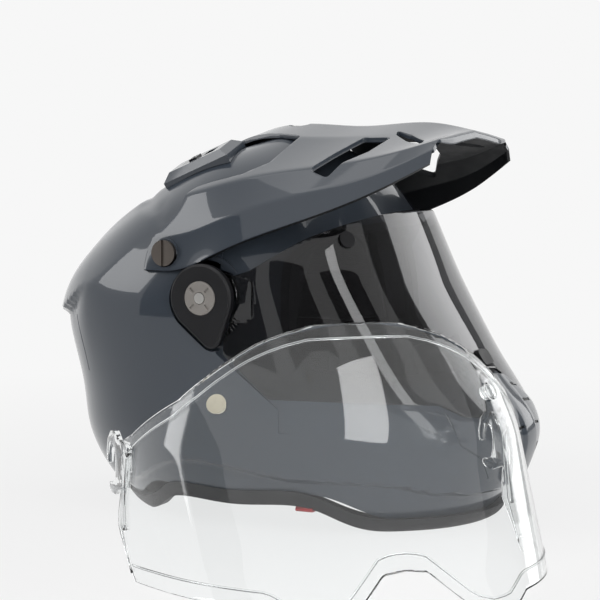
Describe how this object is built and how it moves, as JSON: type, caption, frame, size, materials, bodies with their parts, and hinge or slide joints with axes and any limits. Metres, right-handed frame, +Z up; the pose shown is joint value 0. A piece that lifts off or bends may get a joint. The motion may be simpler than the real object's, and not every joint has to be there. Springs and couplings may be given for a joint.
{
  "type": "dual sport helmet",
  "caption": "Full-face dual sport helmet with a slotted peak, a smoked swinging face shield, vents, padding, a buckled chin strap and a clear spare shield.",
  "frame": {"origin": "middle of the head opening in the plane that the helmet stands on", "axes": "+Z up, -Y the way the wearer faces, +X the wearer's left"},
  "size_m": [0.449, 0.4059, 0.2673],
  "materials": {
    "painted_shell": "glossy clear coat over dark blue-grey",
    "black_rubber": "matte",
    "black_foam": "matte foam",
    "dark_fabric": "brushed knit",
    "black_plastic": "satin",
    "smoked_pane": "glossy smoked polycarbonate",
    "clear_pane": "glossy clear polycarbonate",
    "cream_plastic": "glossy",
    "grey_disc": "satin warm grey",
    "steel": "brushed",
    "steel_mesh": "woven grille",
    "webbing": "woven webbing",
    "red_fabric": "woven"
  },
  "bodies": {
    "helmet": {"outer_shell": "painted_shell", "base_trim": "black_rubber", "eyeport_gasket": "black_rubber", "impact_liner": "black_foam", "chin_foam": "black_foam", "crown_liner": "dark_fabric", "cheek_pad_left": "dark_fabric", "cheek_pad_right": "dark_fabric", "neck_roll": "dark_fabric", "breath_guard": "black_plastic", "chin_curtain": "dark_fabric", "pivot_plate_left": "black_plastic", "pivot_plate_right": "black_plastic", "pivot_cover_left": "black_plastic", "pivot_cover_right": "black_plastic", "pivot_screws": "steel", "peak": "painted_shell", "peak_top_screw": "black_plastic", "top_vent_left": "painted_shell", "top_vent_right": "painted_shell", "chin_vent_housing": "painted_shell", "chin_vent_mesh": "steel_mesh", "rear_vent": "black_plastic", "strap_anchor_left": "steel", "strap_anchor_right": "steel", "chin_strap_left": "webbing", "chin_strap_right": "webbing", "buckle_body": "black_plastic", "buckle_rack": "black_plastic", "pull_tab_left": "red_fabric", "pull_tab_right": "red_fabric"},
    "shield": {"shield": "smoked_pane", "shield_pins": "cream_plastic", "shield_tab": "black_plastic"},
    "pivot_disc_left": {"pivot_disc_left": "grey_disc"},
    "pivot_disc_right": {"pivot_disc_right": "grey_disc"},
    "peak_screw_left": {"peak_screw_left": "grey_disc"},
    "peak_screw_right": {"peak_screw_right": "grey_disc"},
    "top_vent_slider_left": {"top_vent_slider_left": "black_plastic"},
    "top_vent_slider_right": {"top_vent_slider_right": "black_plastic"},
    "chin_vent_shutter": {"chin_vent_shutter": "black_plastic"},
    "buckle_lever": {"buckle_lever": "black_plastic"},
    "spare_shield": {"spare_shield": "clear_pane", "spare_shield_pins": "cream_plastic"}
  },
  "joints": [
    {"name": "shield_pivot", "type": "hinge", "parent": "helmet", "child": "shield", "pos_m": [0, -0.00898, 0.15392], "axis": [-1, 0, 0], "range_deg": [0, 30]},
    {"name": "pivot_disc_left_turn", "type": "hinge", "parent": "helmet", "child": "pivot_disc_left", "pos_m": [0.125, -0.00898, 0.15392], "axis": [1, 0, 0], "range_deg": [0, 90]},
    {"name": "pivot_disc_right_turn", "type": "hinge", "parent": "helmet", "child": "pivot_disc_right", "pos_m": [-0.125, -0.00898, 0.15392], "axis": [-1, 0, 0], "range_deg": [0, 90]},
    {"name": "peak_screw_left_turn", "type": "hinge", "parent": "helmet", "child": "peak_screw_left", "pos_m": [0.122, 0.02001, 0.182], "axis": [1, 0, 0], "range_deg": [0, 90]},
    {"name": "peak_screw_right_turn", "type": "hinge", "parent": "helmet", "child": "peak_screw_right", "pos_m": [-0.122, 0.02001, 0.182], "axis": [-1, 0, 0], "range_deg": [0, 90]},
    {"name": "top_vent_left_slide", "type": "slide", "parent": "helmet", "child": "top_vent_slider_left", "axis": [0, -0.9227, 0.3856], "range_m": [0, 0.008]},
    {"name": "top_vent_right_slide", "type": "slide", "parent": "helmet", "child": "top_vent_slider_right", "axis": [0, -0.9227, 0.3856], "range_m": [0, 0.008]},
    {"name": "chin_shutter_slide", "type": "slide", "parent": "helmet", "child": "chin_vent_shutter", "axis": [1, 0, 0], "range_m": [0, 0.0045]},
    {"name": "buckle_lever_hinge", "type": "hinge", "parent": "helmet", "child": "buckle_lever", "pos_m": [0.016, 0.01496, 0.01907], "axis": [0, 1, 0], "range_deg": [0, 70], "stiffness_Nm_per_rad": 0.005, "springref_deg": -17.19},
    {"name": "spare_shield_lift", "type": "slide", "parent": "helmet", "child": "spare_shield", "axis": [0, 0, 1], "range_m": [0, 0.15]}
  ]
}
